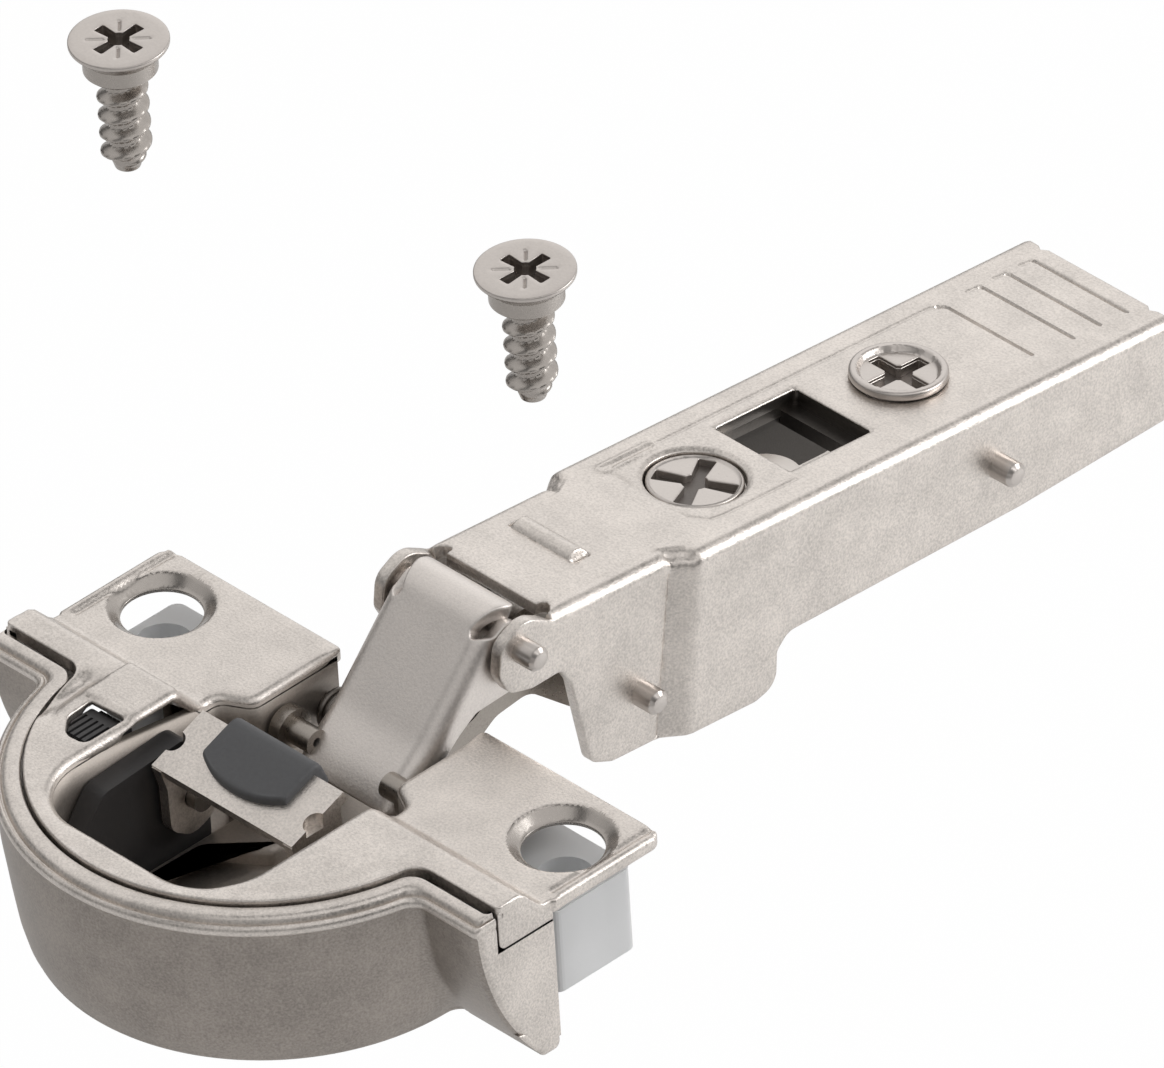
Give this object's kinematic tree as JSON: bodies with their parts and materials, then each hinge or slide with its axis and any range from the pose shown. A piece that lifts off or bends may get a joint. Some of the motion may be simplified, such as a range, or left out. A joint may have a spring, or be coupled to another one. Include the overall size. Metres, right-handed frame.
{
  "type": "concealed cup hinge for narrow frames",
  "caption": "Concealed cabinet hinge with a half-round cup that clamps in a narrow frame, a link-guided arm with adjusting screws and a damper lever in the cup.",
  "frame": {"origin": "midway between the two ear holes, on the top face of the ears, which lies on the frame that carries the cup", "axes": "+X along the pivots; +Y from the cup towards the open arm; +Z out of the cup, away from the frame"},
  "size_m": [0.0492, 0.0983, 0.06],
  "materials": {
    "nickel_steel": "satin nickel plate",
    "cup_steel": "satin nickel plate, drawn",
    "screw_steel": "nickel plate",
    "dark_steel": "oiled steel",
    "black_plastic": "moulded, satin",
    "grey_plastic": "moulded, fine grain",
    "clear_plastic": "translucent, moulded"
  },
  "bodies": {
    "cup": {"cup_shell": "cup_steel", "mounting_plate": "nickel_steel", "clamp_block_left": "clear_plastic", "clamp_block_right": "clear_plastic", "outer_link_pins": "dark_steel", "inner_link_pin": "dark_steel", "return_spring": "dark_steel", "damper_body": "black_plastic", "damper_pin": "dark_steel"},
    "lever": {"damper_lever": "nickel_steel", "lever_pad": "grey_plastic"},
    "switch": {"damper_switch": "black_plastic"},
    "outer_link": {"outer_link": "nickel_steel"},
    "inner_link": {"inner_link": "nickel_steel"},
    "arm": {"hinge_arm": "nickel_steel", "front_pin": "screw_steel", "middle_pin": "screw_steel", "rear_pin": "screw_steel", "clip_spring": "dark_steel"},
    "base": {"base_channel": "dark_steel", "cam_washer": "nickel_steel"},
    "side_screw": {"side_screw": "screw_steel"},
    "depth_cam": {"depth_cam": "screw_steel"},
    "clip": {"clip_lever": "dark_steel"},
    "screw_left": {"frame_screw_left": "screw_steel"},
    "screw_right": {"frame_screw_right": "screw_steel"}
  },
  "joints": [
    {"name": "hinge_fold", "type": "hinge", "parent": "cup", "child": "outer_link", "pos_m": [0, -0.001, -0.0031], "axis": [1, 0, 0], "range_deg": [0, 118]},
    {"name": "arm_pivot", "type": "hinge", "parent": "outer_link", "child": "arm", "pos_m": [0, 0.0095, 0.0039], "axis": [1, 0, 0], "range_deg": [-23, 0]},
    {"name": "inner_link_pivot", "type": "hinge", "parent": "cup", "child": "inner_link", "pos_m": [0, 0.0032, -0.0039], "axis": [1, 0, 0], "range_deg": [0, 115.64]},
    {"name": "lever_pivot", "type": "hinge", "parent": "cup", "child": "lever", "pos_m": [0, -0.0101, -0.0037], "axis": [1, 0, 0], "range_deg": [0, 80]},
    {"name": "switch_slide", "type": "slide", "parent": "cup", "child": "switch", "axis": [0, 1, 0], "range_m": [0, 0.0024]},
    {"name": "base_slide", "type": "slide", "parent": "arm", "child": "base", "axis": [0, 0.9949, -0.1011], "range_m": [-0.002, 0.002]},
    {"name": "cam_turn", "type": "hinge", "parent": "arm", "child": "depth_cam", "pos_m": [0, 0.05154, 0.00118], "axis": [0, 0.1011, 0.9949], "range_deg": [-100, 100]},
    {"name": "side_screw_turn", "type": "hinge", "parent": "arm", "child": "side_screw", "pos_m": [0, 0.03204, 0.00314], "axis": [0, 0.1011, 0.9949], "range_deg": [-360, 360]},
    {"name": "clip_press", "type": "hinge", "parent": "arm", "child": "clip", "pos_m": [0, 0.05363, -0.004], "axis": [1, 0, 0], "range_deg": [0, 8]},
    {"name": "left_screw_drive", "type": "slide", "parent": "cup", "child": "screw_left", "axis": [0, 0, 1], "range_m": [-0.0473, 0]},
    {"name": "right_screw_drive", "type": "slide", "parent": "cup", "child": "screw_right", "axis": [0, 0, 1], "range_m": [-0.0473, 0]}
  ],
  "couplings": [
    {"joint": "arm_pivot", "follows": "hinge_fold", "ratio": -0.19492},
    {"joint": "inner_link_pivot", "follows": "hinge_fold", "ratio": 0.98},
    {"joint": "lever_pivot", "follows": "hinge_fold", "ratio": 0.67797},
    {"joint": "cam_turn", "follows": "base_slide", "rad_per_m": 872.66}
  ]
}
